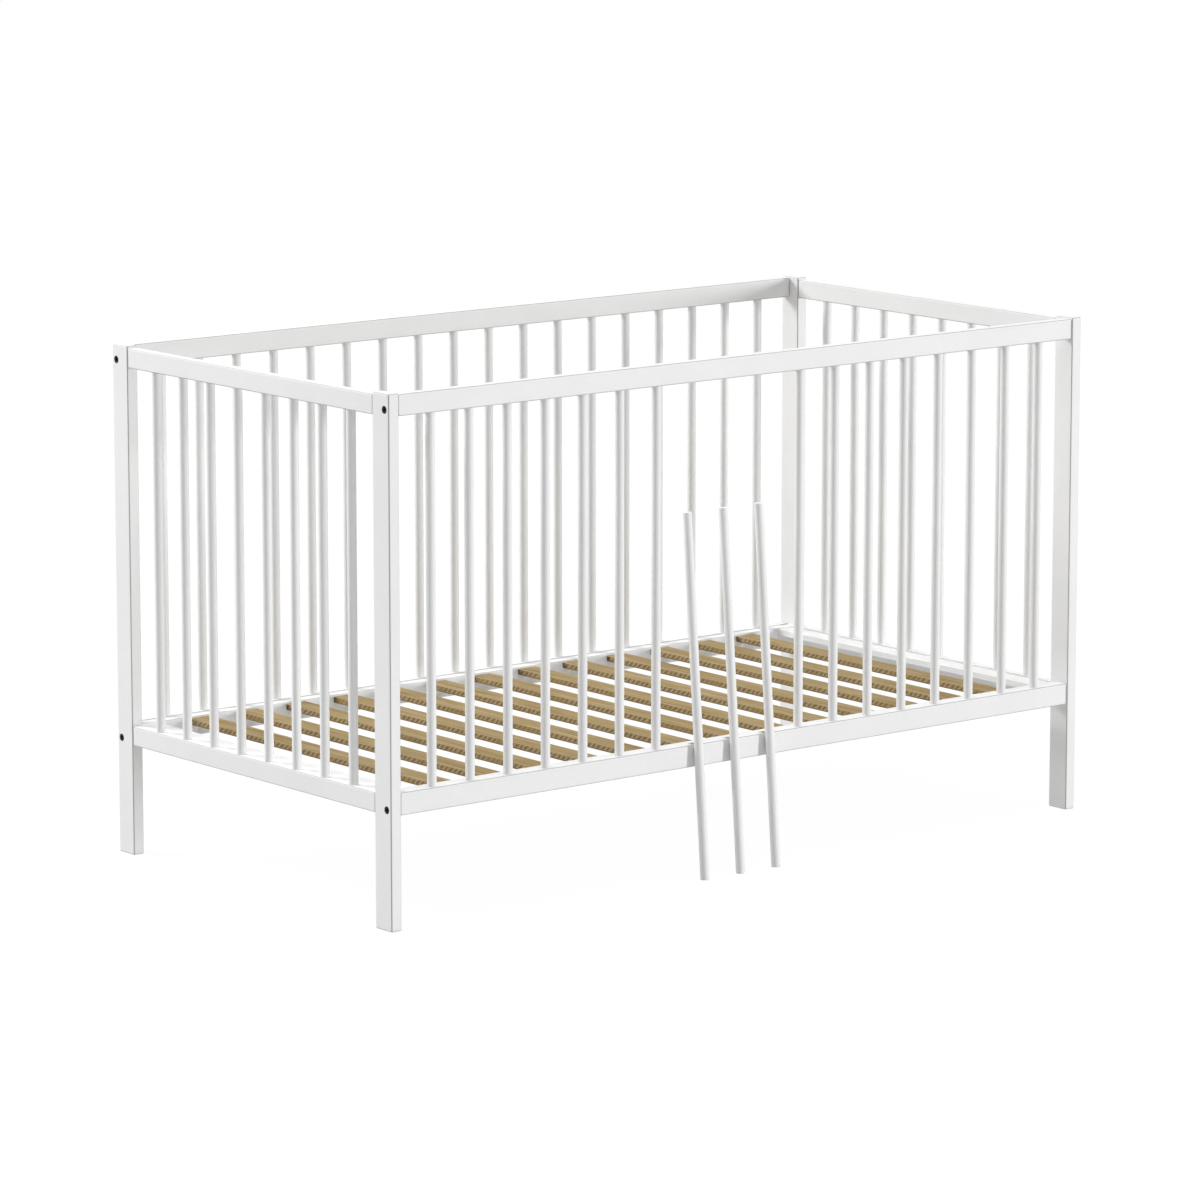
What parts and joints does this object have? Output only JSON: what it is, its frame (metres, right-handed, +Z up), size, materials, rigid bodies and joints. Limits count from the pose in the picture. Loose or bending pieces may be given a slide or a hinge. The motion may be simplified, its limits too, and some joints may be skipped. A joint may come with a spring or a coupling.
{
  "type": "baby crib",
  "caption": "White wooden baby crib with round bars, rectangular posts and rails, a slatted base, and loose bars leaning at the gap they leave.",
  "frame": {"origin": "on the floor, at the middle of the whole outline, loose bars included", "axes": "+X along the crib, +Y from front to back, +Z up"},
  "size_m": [1.44, 0.7706, 0.836],
  "materials": {
    "white_paint": "satin white paint over solid wood",
    "bare_wood": "bare sawn wood, layered edges",
    "dowel_wood": "bare fluted beech",
    "bolt_steel": "black oxide",
    "plated_steel": "zinc plate"
  },
  "bodies": {
    "crib": {"back_bars": "white_paint", "back_bottom_rail": "white_paint", "back_top_rail": "white_paint", "barrel_nuts": "plated_steel", "base_end_board_left": "white_paint", "base_end_board_right": "white_paint", "base_screws": "plated_steel", "base_side_rail_back": "white_paint", "base_side_rail_front": "white_paint", "end_rail_dowels": "dowel_wood", "front_bar_01": "white_paint", "front_bar_02": "white_paint", "front_bar_03": "white_paint", "front_bar_04": "white_paint", "front_bar_05": "white_paint", "front_bar_06": "white_paint", "front_bar_07": "white_paint", "front_bar_11": "white_paint", "front_bar_12": "white_paint", "front_bar_13": "white_paint", "front_bar_14": "white_paint", "front_bar_15": "white_paint", "front_bar_16": "white_paint", "front_bar_17": "white_paint", "front_bar_18": "white_paint", "front_bottom_rail": "white_paint", "front_top_rail": "white_paint", "left_bottom_rail": "white_paint", "left_end_bars": "white_paint", "left_top_rail": "white_paint", "post_back_left": "white_paint", "post_back_right": "white_paint", "post_front_left": "white_paint", "post_front_right": "white_paint", "rail_bolts": "bolt_steel", "rail_dowels": "dowel_wood", "right_bottom_rail": "white_paint", "right_end_bars": "white_paint", "right_top_rail": "white_paint", "slat_01": "bare_wood", "slat_02": "bare_wood", "slat_03": "bare_wood", "slat_04": "bare_wood", "slat_05": "bare_wood", "slat_06": "bare_wood", "slat_07": "bare_wood", "slat_08": "bare_wood", "slat_09": "bare_wood", "slat_10": "bare_wood", "slat_11": "bare_wood", "slat_12": "bare_wood", "slat_13": "bare_wood"},
    "loose_bar_1": {"loose_bar_1": "white_paint"},
    "loose_bar_2": {"loose_bar_2": "white_paint"},
    "loose_bar_3": {"loose_bar_3": "white_paint"}
  },
  "joints": [
    {"name": "loose_bar_1_tip", "type": "hinge", "parent": "crib", "child": "loose_bar_1", "pos_m": [-0.11171, -0.38535, 0.00113], "axis": [1, 0, 0], "range_deg": [0, 94.6]},
    {"name": "loose_bar_2_tip", "type": "hinge", "parent": "crib", "child": "loose_bar_2", "pos_m": [-0.03724, -0.38535, 0.00113], "axis": [1, 0, 0], "range_deg": [0, 94.6]},
    {"name": "loose_bar_3_tip", "type": "hinge", "parent": "crib", "child": "loose_bar_3", "pos_m": [0.03724, -0.38535, 0.00113], "axis": [1, 0, 0], "range_deg": [0, 94.6]}
  ]
}
